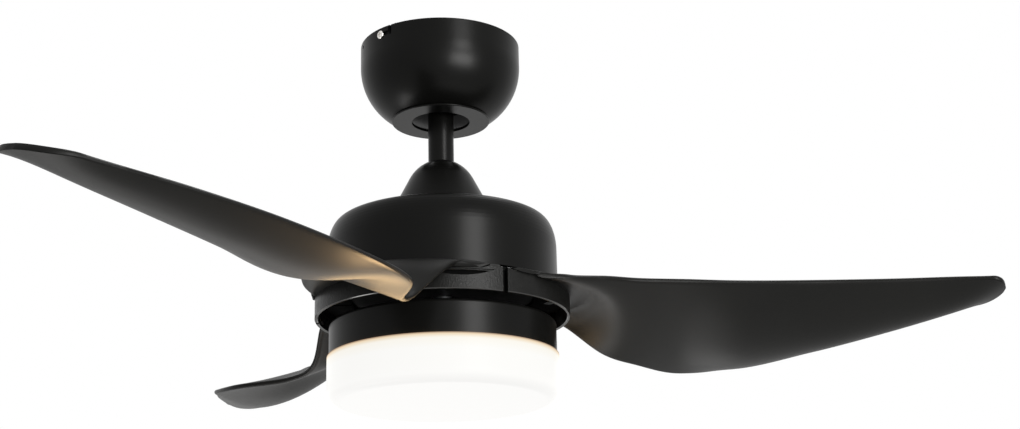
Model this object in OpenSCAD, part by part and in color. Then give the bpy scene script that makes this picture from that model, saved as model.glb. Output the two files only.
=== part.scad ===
// Three-blade ceiling fan with a light.
// The ceiling plane is z = 0, the fan hangs down along -Z and blade_1 points along +X.
// Heights are written as depths: the distance below the ceiling.

/* [Canopy] */
// Outer radius of the canopy at its skirt
canopy_r = 78.8; // [74:0.1:86]
// Height of the canopy, from its rim to its flat bottom
canopy_h = 75.8; // [70:0.1:84]
// Sheet thickness of the canopy
canopy_wall = 1.2; // [0.8:0.1:2]
// Height of the straight skirt above the bowl
canopy_skirt = 20.8; // [14:0.1:24]
// Radius of the hole that the downrod passes through
canopy_hole_r = 28.5; // [27.5:0.5:32]
// Gap between the ceiling and the canopy rim
canopy_gap = 1; // [0.5:0.5:3]
// Outer radius of the trim ring under the canopy
trim_r = 48; // [42:1:50]
// Thickness of the trim ring
trim_t = 1.6; // [1:0.1:2.5]

/* [Ceiling bracket] */
// Sheet thickness of the bracket
bracket_t = 2.5; // [2:0.1:3]
// Width of the bracket's top strap
strap_w = 36; // [30:1:44]
// Circle diameter of the two ceiling screw holes
ceiling_pcd = 90; // [84:1:96]
// Radius of each ceiling screw hole
ceiling_hole_r = 3; // [2:0.5:3.5]
// Direction of the bracket's long side, seen from below the ceiling
bracket_turn = 46; // [0:1:90]
// Depth of the canopy screws below the ceiling
canopy_screw_at = 8; // [6:0.5:11]

/* [Hanger ball and downrod] */
// Radius of the hanger ball
ball_r = 26; // [25:0.5:28]
// Depth of the ball's centre below the ceiling
ball_at = 44; // [42:1:48]
// Outer radius of the downrod
rod_r = 12.5; // [11:0.25:13]
// Wall of the downrod
rod_wall = 2; // [1.5:0.1:3]
// Length of downrod that shows below the canopy
rod_shown = 45; // [36:1:300]
// Wall of the plastic liner between the ball and its seat
liner_t = 1.9; // [1.5:0.1:2.5]
// Radius of the peg that keeps the ball from turning
peg_r = 2.5; // [2:0.1:3]

/* [Coupling cover and yoke] */
// Height of the coupling cover
cover_h = 62; // [58:0.5:75]
// Radius of the cover at its foot
cover_r = 50; // [49:0.5:54]
// Angle of the cover's cone from the vertical
cover_slope = 27; // [24:1:29]
// Sheet thickness of the cover
cover_wall = 1.2; // [0.8:0.1:2]
// Radius of the yoke's flange
flange_r = 43; // [40:1:45]
// Radius of the yoke's collar
collar_r = 19; // [18:0.5:22]
// Radius of the yoke pin
yoke_pin_r = 3.1; // [2.5:0.1:3.5]

/* [Motor housing] */
// Outer radius of the motor housing
housing_r = 110; // [104:0.5:114]
// Height of the motor housing
housing_h = 68; // [66:0.5:76]
// Sheet thickness of the housing
housing_wall = 1.5; // [1:0.1:2.5]
// Height of the rounded shoulder
shoulder_h = 29; // [20:1:34]
// Width of the rounded shoulder
shoulder_w = 13; // [8:1:20]

/* [Motor] */
// Radius of the hollow motor shaft
shaft_r = 9; // [8:0.25:10]
// Bore of the hollow shaft, for the leads
shaft_bore_r = 4; // [3:0.25:4.5]
// Outer radius of the rotor shells
rotor_r = 80; // [76:1:84]
// Wall of the rotor shells
rotor_wall = 4; // [3:0.5:5]
// Height of the stator's stack of laminations
stack_h = 20; // [14:1:24]
// Number of stator teeth
teeth = 12; // [9:3:15]
// Number of rotor magnets
magnets = 16; // [12:2:20]
// Gap between the stator and the magnets
air_gap = 0.7; // [0.5:0.1:1.2]

/* [Blades] */
// Radius of the circle that the blade tips sweep
blade_tip_r = 532.5; // [500:0.5:560]
// Thickness of a blade's sheet
blade_t = 5.2; // [3.4:0.2:5.6]
// Outer radius of the ring that the blade roots make together
ring_r = 121; // [120:1:124]
// Wall of the ring
ring_wall = 3; // [2:0.5:4]
// Height of the ring
ring_h = 22.5; // [18:0.5:26]
// Gap between one blade root and the next
root_gap = 5; // [3:0.5:7]
// Gap between the motor housing and the turning ring
rotor_gap = 5; // [4.5:0.5:7]
// Gap between the turning ring and the light
light_gap = 5; // [3:0.5:8]

/* [Light] */
// Outer radius of the light's pan
pan_r = 107.5; // [106:0.5:112]
// Height of the light's pan
pan_h = 31; // [29:1:38]
// Sheet thickness of the pan
pan_wall = 1.5; // [1:0.1:2]
// How far the diffuser stands out past the pan
diffuser_lap = 1.8; // [0.5:0.1:4]
// Height of the diffuser below the pan
diffuser_h = 43.2; // [36:0.2:54]
// Radius of the diffuser's lower edge
diffuser_edge = 12; // [8:1:16]
// Wall of the diffuser
diffuser_wall = 2.5; // [2:0.1:3.5]
// Radius of the light emitting board
board_r = 92; // [86:1:96]
// Thickness of the board
board_t = 1.6; // [1:0.1:2.4]

/* [Fits] */
// Clearance of a running bore round its shaft
running = 0.05; // [0.03:0.01:0.1]
// Clearance between surfaces that slide past each other
slide_gap = 0.3; // [0.2:0.05:0.5]
// Clearance of a screw or a pin in its hole
screw_gap = 0.15; // [0.1:0.05:0.3]

/* [Hidden] */
$fn = 96;

// Depths down the fan, each from the piece above it
canopy_bottom = canopy_gap + canopy_h;
cover_top = canopy_bottom + rod_shown;
housing_top = cover_top + cover_h;
housing_bottom = housing_top + housing_h;
ring_top = housing_bottom + rotor_gap;
ring_bottom = ring_top + ring_h;
pan_top = ring_bottom + light_gap;
pan_bottom = pan_top + pan_h;
diffuser_top = pan_bottom + slide_gap;
diffuser_bottom = diffuser_top + diffuser_h;

// Canopy bowl: a quarter round that starts under the skirt
bowl_r = 62;
bowl_at = canopy_gap + canopy_skirt;
bowl_x = canopy_r - bowl_r;

// Bracket
tab_w = 20;
tab_h = 17;
tab_r = sqrt(pow(canopy_r - canopy_wall - slide_gap, 2) - pow(tab_w / 2, 2));
strap_end = tab_r - bracket_t;
wire_hole_r = 10;
liner_in = ball_r + slide_gap;
liner_out = liner_in + liner_t;
seat_in = liner_out + slide_gap;
seat_t = 3;
seat_out = seat_in + seat_t;
leg_x = seat_in + bracket_t;
leg_w = 26;
leg_low = ball_at + 7;
peg_head_r = 4.5;
peg_head_h = 1.4;
peg_tip = ball_r - 3.2;
canopy_screw_r = 1.9;
canopy_head_r = 4;
canopy_head_h = 1.8;
slot_r = canopy_screw_r + screw_gap;
slot_half = asin(slot_r / canopy_r);
slot_turn = 8.6;
slot_foot = 0.5;
vent_turn = 27;
vent_r = 1.9;
seat_low = -37;
seat_high = -2;
liner_low = -40;
liner_high = 12;
door_w = 2 * rod_r + 2;

// Electronics under the strap
receiver_size = [40, 84, 15];
terminal_size = [18, 14, 11];
earth_at = (ceiling_pcd / 2 + strap_end) / 2;
terminal_at = -earth_at;

// Ball, rod and yoke
ball_flat = 0.68 * ball_r;
sway = 14;
groove_r = peg_tip * cos(sway) - peg_r * sin(sway) - slide_gap;
rod_top = ball_at - ball_flat - 1;
yoke_top = cover_top + 11;
rod_bottom = yoke_top + 29;
rod_socket = rod_bottom + 2;
flange_t = 6;
fillet_h = 8;
fillet_w = 7;
ball_pin_r = 3;
yoke_pin_at = yoke_top + 17;
set_screw_at = yoke_top + 7;
set_screw_r = 2.5;
yoke_pin_l = collar_r + 5;
cotter_r = 0.9;
cotter_x = collar_r + 2.4;
cover_arc = 37;
cover_lean = 65;
cover_neck_r = rod_r + 1.5;
cover_lip = 9;
housing_screw_r = 2.5;
housing_screw_circle = (collar_r + flange_r) / 2 + 2;
screw_head_h = 2.6;

// Motor heights, set from the turning flange upwards
web_gap = 2.2;
carrier_low = ring_top + web_gap;
carrier_t = 3.5;
carrier_high = carrier_low - carrier_t;
bearing_r = 17.5;
bearing_h = 10;
bearing_seat_t = 4;
bearing_lip = 3;
bearing_floor = 4;
lower_bearing_at = carrier_low - bearing_floor - bearing_h;
shell_depth = 28.7;
shell_joint = carrier_high - shell_depth;
shell_rise = 30;
upper_bearing_at = shell_joint - shell_rise;
shell_top = upper_bearing_at - 2;
shell_rib_t = 3;
shell_rib_h = 5;
shell_web_t = 4;
stack_at = (upper_bearing_at + bearing_h + lower_bearing_at) / 2 - stack_h / 2;
shaft_seat_r = shaft_r + 2.5;
seat_top = upper_bearing_at + bearing_h + slide_gap;
seat_bottom = lower_bearing_at - slide_gap;
shaft_top = rod_socket + 2;
shaft_step = pan_top - 3;
thread_r = shaft_r - 3;
nut_h = 6;
shaft_end = pan_top + pan_wall + nut_h + 2;
shell_screws_n = 6;
shell_screw_r = 1.9;
shell_head_r = 3.5;
shell_head_h = 2;
ear_r = 4;
ear_t = 4;
ear_at = rotor_r + shell_head_r + slide_gap;
magnet_t = 4.5;
magnet_in = rotor_r - rotor_wall - magnet_t;
stator_out = magnet_in - air_gap;
tooth_w = 7;
tooth_tip = 3.2;
yoke_ring = 14;
coil_t = 6;
coil_in = shaft_seat_r + yoke_ring + 1;
coil_out = stator_out - tooth_tip - 1;
ball_n = 8;
bearing_ball_r = 2.4;
race_gap = 2.5;

// Blade roots and their screws
turn = 120;
gap_angle = asin(root_gap / 2 / ring_r);
half_root = turn / 2 - gap_angle;
carrier_r = ring_r - ring_wall - 1.5;
web_t = 3;
web_in = rotor_r + 6;
blade_screw_circle = (web_in + carrier_r) / 2;
blade_screw_r = 2.4;
blade_screw_turn = 38;
root_rise = 1.6;
root_mid = ring_top + blade_t / 2 - root_rise;
relief_at = 40;
relief_w = 31;
relief_h = 6;

// Light
diffuser_r = pan_r + diffuser_lap;
lug_n = 3;
lug_w = 18;
lug_t = 3;
neck_r = pan_r - pan_wall - 5.5;
lug_r = neck_r + 4;
lug_top = pan_bottom - 11;
catch_in = neck_r + slide_gap + 0.2;
catch_t = 2.5;
stop_w = 2.5;
post_r = 4;
post_circle = board_r - 10;
board_top = pan_top + pan_wall + 12;
driver_size = [70, 34, 9.5];
driver_y = 48;
chip = 3;
chip_h = 0.8;
chip_rings = [[26, 10], [46, 18], [66, 26]];
pan_screw_circle = 30;
plate_r = 40;
small_screw_r = 1.5;
small_head_h = 2;
board_screw_l = 6;

// Blade shape in hundredths of the ring's radius, one entry for each section from root to tip.
// A section's two ends are its high leading edge and its low trailing edge.
section_u = [0, 23.14, 43.8, 73.55, 100.83, 138.84, 186.78, 244.63, 302.48, 352.07, 389.26];
lead_s = [-84.3, -69.42, -61.16, -43.8, -32.64, -28.51, -25.62, -12.81, -14.46, -17.77, -28.1];
trail_s = [84.3, 65.29, 61.57, 56.61, 66.94, 97.93, 99.17, 78.51, 55.79, 31.4, 19.01];
lead_drop = [0, 1.24, 0.25, -3.14, -3.64, -3.06, -2.07, -4.71, -3.97, -3.47, -0.17];
trail_drop = [0, -1.24, 9.59, 33.88, 41.32, 42.64, 37.19, 25.21, 16.78, 9.67, 6.86];
sag = [0, 0.83, 0.17, -0.83, 0.66, 5.12, 22.31, 24.21, 18.18, 11.57, 0.83];
arc_share = [1, 0.85, 0.6, 0.3, 0.1, 0, 0, 0, 0, 0, 0];
share = ring_r / 100;
plain_at = section_u[5] * share;
design_span = section_u[10] * share;
tip_at = 0.45;
tip_lead = 15;
tip_trail = 28;
sections = 40;
chord_points = 13;
edge_step = 0.02;
edge_soft = 0.6;
plain_share = 0.75;
turn_at = 9.2;
tip_end = 9.993;

root_r = ring_r - 0.5;
root_half = asin(-lead_s[0] * share / root_r);
root_u = root_r * cos(root_half);
span = blade_tip_r - root_u;

// Smooth value between the entries of a list, at place p counted in entries
function entry(list, i) =
    i < 0 ? 2 * list[0] - list[1]
    : i > len(list) - 1 ? 2 * list[len(list) - 1] - list[len(list) - 2]
    : list[i];
function smooth(list, p) =
    let (i = min(floor(p), len(list) - 2), t = p - i,
         a = entry(list, i - 1), b = entry(list, i), c = entry(list, i + 1), d = entry(list, i + 2))
    0.5 * (2 * b + (c - a) * t + (2 * a - 5 * b + 4 * c - d) * t * t
        + (3 * b - a - 3 * c + d) * t * t * t);

// Reach is stretched only outside the root, so the root keeps fitting the ring
function reach(u) =
    u < plain_at ? u : plain_at + (u - plain_at) * (span - plain_at) / (design_span - plain_at);

// How much of a side of the chord is left where the tip is rounded off over the last l
function tip_share(u, l) = u <= span - l ? 1 : sqrt(max(0, 1 - pow((u - span + l) / l, 2)));
function tip_place(u, t) =
    t < tip_at ? tip_at + (t - tip_at) * tip_share(u, tip_lead)
    : tip_at + (t - tip_at) * tip_share(u, tip_trail);

// A point of the blade's middle surface: p along the sections, t from lead (0) to trail (1)
function blade_mid(p, t) =
    let (u = reach(smooth(section_u, p) * share), k = tip_place(u, t),
         s = share * (smooth(lead_s, p) + (smooth(trail_s, p) - smooth(lead_s, p)) * k),
         across = root_r * sin(root_half) * (2 * t - 1),
         bow = sqrt(root_r * root_r - across * across) - root_u,
         drop = share * (smooth(lead_drop, p) + (smooth(trail_drop, p) - smooth(lead_drop, p)) * k
             + 4 * smooth(sag, p) * k * (1 - k)))
    [root_u + u + smooth(arc_share, p) * bow, s, -(root_mid + drop)];

function unit(v) = v / norm(v);
function blade_normal(p, t) =
    let (h = 0.01,
         along = blade_mid(min(p + h, 10), t) - blade_mid(max(p - h, 0), t),
         over = blade_mid(p, min(t + h, 1)) - blade_mid(p, max(t - h, 0)))
    unit(cross(along, over));
function blade_skin(p, t, side) = blade_mid(p, t) + side * blade_t / 2 * blade_normal(p, t);

// Sections close up towards the tip, where the outline turns
function section_place(i) =
    let (f = i / (sections - 1))
    f < plain_share ? f / plain_share * turn_at
    : turn_at + (tip_end - turn_at) * sin((f - plain_share) / (1 - plain_share) * 90);
function chord_place(j) = edge_step + (1 - 2 * edge_step) * j / (chord_points - 1);
function blade_loop(p) = concat(
    [blade_skin(p, 0, edge_soft)],
    [for (j = [0 : chord_points - 1]) blade_skin(p, chord_place(j), 1)],
    [blade_skin(p, 1, edge_soft), blade_skin(p, 1, -edge_soft)],
    [for (j = [chord_points - 1 : -1 : 0]) blade_skin(p, chord_place(j), -1)],
    [blade_skin(p, 0, -edge_soft)]);

// Outline pieces for revolved profiles: points [radius, depth] along an arc
function arc(x, depth, r, a0, a1, n) =
    [for (i = [0 : n]) let (a = a0 + (a1 - a0) * i / n) [x + r * cos(a), depth - r * sin(a)]];
function rev(list) = [for (i = [len(list) - 1 : -1 : 0]) list[i]];

module at_depth(d) {
    translate([0, 0, -d]) children();
}

// A revolved solid from points [radius, depth]
module turned(points, sweep = 360) {
    rotate_extrude(angle = sweep) polygon([for (q = points) [q[0], -q[1]]]);
}

module tube(r_out, r_in, top, bottom) {
    difference() {
        at_depth(bottom) cylinder(r = r_out, h = bottom - top);
        at_depth(bottom + 1) cylinder(r = r_in, h = bottom - top + 2);
    }
}

module rod(r, top, bottom) {
    at_depth(bottom) cylinder(r = r, h = bottom - top);
}

// Children repeated n times round the axis
module ring_of(n, start = 0) {
    for (i = [0 : n - 1]) rotate([0, 0, start + i * 360 / n]) children();
}

// A cylinder lying along X at a depth
module bar(r, x0, x1, depth) {
    translate([x0, 0, -depth]) rotate([0, 90, 0]) cylinder(r = r, h = x1 - x0);
}

module block(size, centre_x, centre_y, top) {
    translate([centre_x - size[0] / 2, centre_y - size[1] / 2, -top - size[2]]) cube(size);
}

// Everything on the bracket is drawn with its long side on X, then turned
module bracket_side() {
    rotate([0, 0, bracket_turn]) children();
}

module seat_shell() {
    difference() {
        rotate_extrude() difference() {
            circle(r = seat_out);
            circle(r = seat_in);
            translate([-2 * seat_out, -seat_out]) square([2 * seat_out, 2 * seat_out]);
            translate([0, seat_in * sin(seat_high)]) square(2 * seat_out);
            translate([0, seat_out * sin(seat_low) - 2 * seat_out]) square(2 * seat_out);
        }
        translate([-door_w / 2, 0, -seat_out]) cube([door_w, 2 * seat_out, 2 * seat_out]);
    }
}

module ceiling_bracket() {
    color("#b4b6b8") bracket_side() difference() {
        union() {
            block([2 * strap_end + bracket_t, strap_w, bracket_t], 0, 0, 0);
            for (side = [-1, 1]) {
                block([bracket_t, tab_w, tab_h], side * (tab_r - bracket_t / 2), 0, 0);
                block([bracket_t, leg_w, leg_low], side * (leg_x + bracket_t / 2), 0, 0);
            }
            at_depth(ball_at) seat_shell();
        }
        rod(wire_hole_r, -1, bracket_t + 1);
        for (side = [0, 180]) rotate([0, 0, side]) {
            translate([ceiling_pcd / 2, 0, 0]) rod(ceiling_hole_r, -1, bracket_t + 1);
            bar(canopy_screw_r, strap_end - 3, tab_r + 1, canopy_screw_at);
        }
        translate([earth_at, 0, 0]) rod(canopy_screw_r, -1, bracket_t + 1);
        bar(peg_r, 0, seat_out + 8, ball_at);
        at_depth(ball_at) sphere(r = seat_in);
    }
}

module seat_peg() {
    color("#8d9094") bracket_side() {
        bar(peg_r, peg_tip, leg_x + bracket_t + peg_head_h / 2, ball_at);
        bar(peg_head_r, leg_x + bracket_t, leg_x + bracket_t + peg_head_h, ball_at);
    }
}

// The canopy's outline, drawn in by e
module canopy_outline(e) {
    x = canopy_r - e;
    translate([0, -bowl_at]) square([x, canopy_skirt]);
    translate([0, -canopy_bottom + e]) square([bowl_x, canopy_h - canopy_skirt]);
    intersection() {
        translate([bowl_x, -bowl_at]) circle(r = bowl_r - e);
        translate([0, -canopy_bottom + e]) square([x, canopy_bottom - bowl_at]);
    }
}

module canopy_cut(top, bottom, sweep) {
    turned([[canopy_r - 4, top], [canopy_r + 1, top], [canopy_r + 1, bottom], [canopy_r - 4, bottom]],
        sweep);
}

module canopy() {
    color("#1d1d1f") difference() {
        rotate_extrude() difference() {
            canopy_outline(0);
            canopy_outline(canopy_wall);
            translate([0, -canopy_gap - canopy_wall]) square([canopy_r - canopy_wall, canopy_wall + 1]);
            translate([0, -canopy_bottom - 1]) square([canopy_hole_r, canopy_h]);
        }
        // Two bayonet slots open at the rim and run round to their screws
        for (side = [0, 180]) rotate([0, 0, bracket_turn + side]) {
            rotate([0, 0, -slot_half])
                canopy_cut(canopy_screw_at - slot_r, canopy_screw_at + slot_r, slot_turn + slot_half);
            rotate([0, 0, slot_turn - slot_half])
                canopy_cut(0, canopy_screw_at + slot_r + slot_foot, 2 * slot_half);
            rotate([0, 0, -vent_turn]) bar(vent_r, canopy_r - 4, canopy_r + 1, canopy_screw_at - 1);
        }
    }
}

module canopy_trim_ring() {
    color("#1d1d1f") turned([[canopy_hole_r, canopy_bottom], [trim_r - 0.5, canopy_bottom],
        [trim_r, canopy_bottom + 0.5], [trim_r, canopy_bottom + trim_t - 0.5],
        [trim_r - 0.5, canopy_bottom + trim_t], [canopy_hole_r, canopy_bottom + trim_t]]);
}

module canopy_screws() {
    seat = canopy_r + 0.1;
    color("#c9cbce") for (side = [0, 180]) rotate([0, 0, bracket_turn + side]) difference() {
        union() {
            bar(canopy_screw_r, strap_end - 3, seat + 0.5, canopy_screw_at);
            bar(canopy_head_r, seat, seat + canopy_head_h, canopy_screw_at);
        }
        for (a = [45, 135]) translate([canopy_r + canopy_head_h - 0.7, 0, -canopy_screw_at])
            rotate([a, 0, 0]) translate([0, -2.2, -0.5]) cube([2, 4.4, 1]);
    }
}

module remote_receiver() {
    color("#e4e4e2") bracket_side() block(receiver_size, 0, 0, bracket_t);
}

module terminal_block() {
    color("#d8d8d2") bracket_side() difference() {
        block(terminal_size, terminal_at, 0, bracket_t);
        for (i = [-1, 0, 1]) translate([terminal_at + i * 5.4, 0, 0])
            rod(1.6, bracket_t + 6, bracket_t + terminal_size[2] + 1);
    }
}

module earth_screw() {
    color("#3f8f52") bracket_side() translate([earth_at, 0, 0]) {
        rod(canopy_screw_r - 0.05, 0.5, bracket_t + 0.1);
        rod(canopy_head_r, bracket_t, bracket_t + canopy_head_h);
    }
}

module seat_liner() {
    color("#ececea") at_depth(ball_at) bracket_side() difference() {
        rotate_extrude() difference() {
            circle(r = liner_out);
            circle(r = liner_in);
            translate([-2 * liner_out, -liner_out]) square([2 * liner_out, 2 * liner_out]);
            translate([0, liner_out * sin(liner_high)]) square(2 * liner_out);
            translate([0, liner_out * sin(liner_low) - 2 * liner_out]) square(2 * liner_out);
        }
        rotate([0, 90, 0]) cylinder(r = peg_r + running, h = 2 * liner_out);
        translate([-door_w / 2, 0, -liner_out]) cube([door_w, 2 * liner_out, 2 * liner_out]);
    }
}

module hanger_ball() {
    color("#2a2a2c") at_depth(ball_at) bracket_side() difference() {
        sphere(r = ball_r);
        for (side = [-1, 1]) translate([0, 0, side * (ball_flat + ball_r)])
            cube(2 * ball_r, center = true);
        cylinder(r = rod_r + screw_gap, h = 3 * ball_r, center = true);
        translate([groove_r, -peg_r - slide_gap, -ball_r])
            cube([ball_r, 2 * (peg_r + slide_gap), 2 * ball_r]);
        rotate([90, 0, 0]) cylinder(r = ball_pin_r + screw_gap, h = 3 * ball_r, center = true);
    }
}

module ball_pin() {
    color("#a9acb0") at_depth(ball_at) bracket_side() rotate([90, 0, 0])
        cylinder(r = ball_pin_r, h = 1.8 * ball_r, center = true);
}

module downrod() {
    color("#1d1d1f") difference() {
        tube(rod_r, rod_r - rod_wall, rod_top, rod_bottom);
        at_depth(ball_at) bracket_side() rotate([90, 0, 0])
            cylinder(r = ball_pin_r + screw_gap, h = 4 * rod_r, center = true);
        bar(yoke_pin_r + screw_gap, -2 * rod_r, 2 * rod_r, yoke_pin_at);
    }
}

// The coupling cover's outline, drawn in by e: a broad arc that runs into a cone
function cover_side(e) =
    let (x = cover_neck_r - cover_arc * cos(cover_lean),
         depth = cover_top + cover_arc * sin(cover_lean),
         foot = cover_top + cover_h - cover_lip)
    concat([[rod_r + 0.6, cover_top + e]],
        arc(x, depth, cover_arc - e, cover_lean, cover_slope, 8),
        [[cover_r - e, foot], [cover_r - e, cover_top + cover_h]]);

module coupling_cover() {
    color("#1d1d1f") turned(concat(cover_side(0), rev(cover_side(cover_wall))));
}

module motor_yoke() {
    flange_top = housing_top - flange_t;
    color("#3a3b3d") difference() {
        union() {
            rod(collar_r, yoke_top, housing_top - 1);
            rod(flange_r, flange_top, housing_top);
            turned([[collar_r - 1, flange_top - fillet_h], [collar_r, flange_top - fillet_h],
                [collar_r + fillet_w, flange_top], [collar_r - 1, flange_top]]);
        }
        rod(rod_r + screw_gap, yoke_top - 1, rod_socket);
        rod(shaft_r, rod_socket - 1, housing_top + 1);
        bar(yoke_pin_r + screw_gap, -2 * collar_r, 2 * collar_r, yoke_pin_at);
        rotate([0, 0, 90]) bar(set_screw_r, -2 * collar_r, 2 * collar_r, set_screw_at);
        ring_of(4, 45) translate([housing_screw_circle, 0, 0])
            rod(housing_screw_r + screw_gap, flange_top - fillet_h - 1, housing_top + 1);
    }
}

module yoke_pin() {
    color("#a9acb0") difference() {
        union() {
            bar(yoke_pin_r, -collar_r - 1, yoke_pin_l, yoke_pin_at);
            bar(yoke_pin_r + 1.9, -collar_r - 2, -collar_r, yoke_pin_at);
        }
        translate([cotter_x, 0, -yoke_pin_at - 10]) cylinder(r = cotter_r + 0.1, h = 20);
    }
}

module cotter_clip() {
    loop_r = yoke_pin_r + cotter_r + 0.3;
    color("#c9cbce") translate([cotter_x, 0, -yoke_pin_at]) {
        translate([0, 0, -9]) cylinder(r = cotter_r, h = 9 + yoke_pin_r + 2);
        translate([loop_r, 0, yoke_pin_r + 2]) rotate([90, 0, 0])
            rotate_extrude(angle = 180) translate([loop_r, 0]) circle(r = cotter_r);
        translate([2 * loop_r, 0, -8]) cylinder(r = cotter_r, h = 8 + yoke_pin_r + 2);
    }
}

module yoke_set_screws() {
    color("#5b5d60") for (side = [0, 180]) rotate([0, 0, 90 + side]) difference() {
        bar(set_screw_r, rod_r, collar_r + 1, set_screw_at);
        translate([collar_r - 1.5, 0, -set_screw_at]) rotate([0, 90, 0]) cylinder(r = 1.4, h = 4, $fn = 6);
    }
}

module motor_shaft() {
    color("#8d9094") turned([[shaft_bore_r, shaft_top], [shaft_r, shaft_top], [shaft_r, seat_top],
        [shaft_seat_r, seat_top], [shaft_seat_r, seat_bottom], [shaft_r, seat_bottom],
        [shaft_r, shaft_step], [thread_r, shaft_step], [thread_r, shaft_end], [shaft_bore_r, shaft_end]]);
}

module shaft_circlip() {
    top = lower_bearing_at + bearing_h + slide_gap;
    color("#5b5d60") difference() {
        rod(shaft_r + 2.6, top, top + 1.2);
        rod(shaft_r, top - 1, top + 2);
        translate([0, -2, -top - 2]) cube([2 * shaft_r, 4, 3]);
    }
}

// The housing's outline, drawn in by e: a drum with an elliptical shoulder
function housing_side(e) =
    concat([[shaft_r + 0.5, housing_top + e]],
        [for (i = [0 : 12]) let (a = 90 - 7.5 * i)
            [housing_r - shoulder_w + (shoulder_w - e) * cos(a),
             housing_top + shoulder_h - (shoulder_h - e) * sin(a)]],
        [[housing_r - e, housing_bottom]]);

module motor_housing() {
    color("#1d1d1f") difference() {
        turned(concat(housing_side(0), rev(housing_side(housing_wall))));
        ring_of(4, 45) translate([housing_screw_circle, 0, 0])
            rod(housing_screw_r, housing_top - 1, housing_top + housing_wall + 1);
    }
}

module housing_screws() {
    top = housing_top - flange_t;
    color("#a9acb0") ring_of(4, 45) translate([housing_screw_circle, 0, 0]) {
        rod(housing_screw_r, top - screw_head_h / 2, housing_top + housing_wall + 1);
        rod(2 * housing_screw_r - 0.8, top - screw_head_h, top);
    }
}

module stator_core() {
    color("#7c7f84") difference() {
        at_depth(stack_at + stack_h) linear_extrude(stack_h) difference() {
            union() {
                circle(r = shaft_seat_r + yoke_ring);
                for (i = [0 : teeth - 1]) rotate(i * 360 / teeth)
                    translate([shaft_seat_r, -tooth_w / 2])
                        square([stator_out - shaft_seat_r - 1, tooth_w]);
                difference() {
                    circle(r = stator_out);
                    circle(r = stator_out - tooth_tip);
                    for (i = [0 : teeth - 1]) rotate((i + 0.5) * 360 / teeth)
                        translate([0, -1.5]) square([2 * stator_out, 3]);
                }
            }
            circle(r = shaft_seat_r);
        }
    }
}

module stator_windings() {
    over = 5;
    side = min(coil_t, coil_in * sin(180 / teeth) - tooth_w / 2 - 0.3);
    color("#b8692e") ring_of(teeth) difference() {
        translate([coil_in, -tooth_w / 2 - side, -stack_at - stack_h - over])
            cube([coil_out - coil_in, tooth_w + 2 * side, stack_h + 2 * over]);
        translate([coil_in - 1, -tooth_w / 2, -stack_at - stack_h])
            cube([coil_out - coil_in + 2, tooth_w, stack_h]);
    }
}

module light_plate() {
    color("#8d9094") difference() {
        rod(plate_r, shaft_step, pan_top);
        rod(thread_r, shaft_step - 1, pan_top + 1);
        ring_of(3) translate([pan_screw_circle, 0, 0]) rod(small_screw_r, shaft_step - 1, pan_top + 1);
    }
}

module shaft_nut() {
    color("#a9acb0") difference() {
        at_depth(pan_top + pan_wall + nut_h) cylinder(r = thread_r + 4, h = nut_h, $fn = 6);
        rod(thread_r, pan_top, pan_top + pan_wall + nut_h + 1);
    }
}

// The pan's outline, drawn in by e
function pan_side(e) =
    concat([[thread_r + screw_gap, pan_top + e]],
        arc(pan_r - 3, pan_top + 3, 3 - e, 90, 0, 4), [[pan_r - e, pan_bottom]]);

module light_pan() {
    color("#1d1d1f") difference() {
        union() {
            turned(concat(pan_side(0), rev(pan_side(pan_wall))));
            ring_of(3, 30) translate([post_circle, 0, 0])
                rod(post_r, pan_top + pan_wall - 0.2, board_top);
        }
        ring_of(3) translate([pan_screw_circle, 0, 0])
            rod(small_screw_r + screw_gap, pan_top - 1, pan_top + pan_wall + 1);
        ring_of(3, 30) translate([post_circle, 0, 0])
            rod(small_screw_r, board_top - board_screw_l - 2, board_top + 1);
    }
}

module pan_screws() {
    low = pan_top + pan_wall;
    color("#a9acb0") ring_of(3) translate([pan_screw_circle, 0, 0]) {
        rod(small_screw_r, shaft_step, low + small_head_h / 2);
        rod(2 * small_screw_r, low, low + small_head_h);
    }
}

// Each catch has a stop at one end, half a degree before the lug's own end
module diffuser_catches() {
    low = lug_top + lug_t + slide_gap;
    color("#8d9094") ring_of(lug_n) rotate([0, 0, -lug_w / 2 - stop_w - 0.5]) {
        turned([[catch_in, low], [pan_r - pan_wall, low], [pan_r - pan_wall, low + catch_t],
            [catch_in, low + catch_t]], lug_w + stop_w + 0.5);
        turned([[lug_r - 1.5, lug_top], [pan_r - pan_wall, lug_top],
            [pan_r - pan_wall, low + catch_t], [lug_r - 1.5, low + catch_t]], stop_w);
    }
}

module led_driver() {
    color("#e4e4e2") block(driver_size, 0, driver_y, pan_top + pan_wall);
}

module led_board() {
    color("#e8e8e4") difference() {
        rod(board_r, board_top, board_top + board_t);
        ring_of(3, 30) translate([post_circle, 0, 0])
            rod(small_screw_r + screw_gap, board_top - 1, board_top + board_t + 1);
    }
}

module led_chips() {
    color("#f6e7b0") for (row = chip_rings) ring_of(row[1]) translate([row[0], 0, 0])
        block([chip, chip, chip_h], 0, 0, board_top + board_t);
}

module board_screws() {
    low = board_top + board_t;
    color("#a9acb0") ring_of(3, 30) translate([post_circle, 0, 0]) {
        rod(small_screw_r, board_top - board_screw_l, low + small_head_h / 2);
        rod(2 * small_screw_r, low, low + small_head_h);
    }
}

// Screw ears round the joint between the two rotor shells
module shell_ears(top, bottom) {
    root = rotor_r - rotor_wall + 1;
    ring_of(shell_screws_n) difference() {
        union() {
            translate([ear_at, 0, 0]) rod(ear_r, top, bottom);
            block([ear_at - root, 2 * ear_r, bottom - top], (ear_at + root) / 2, 0, top);
        }
        translate([ear_at, 0, 0]) rod(shell_screw_r, top - 1, bottom + 1);
    }
}

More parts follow.
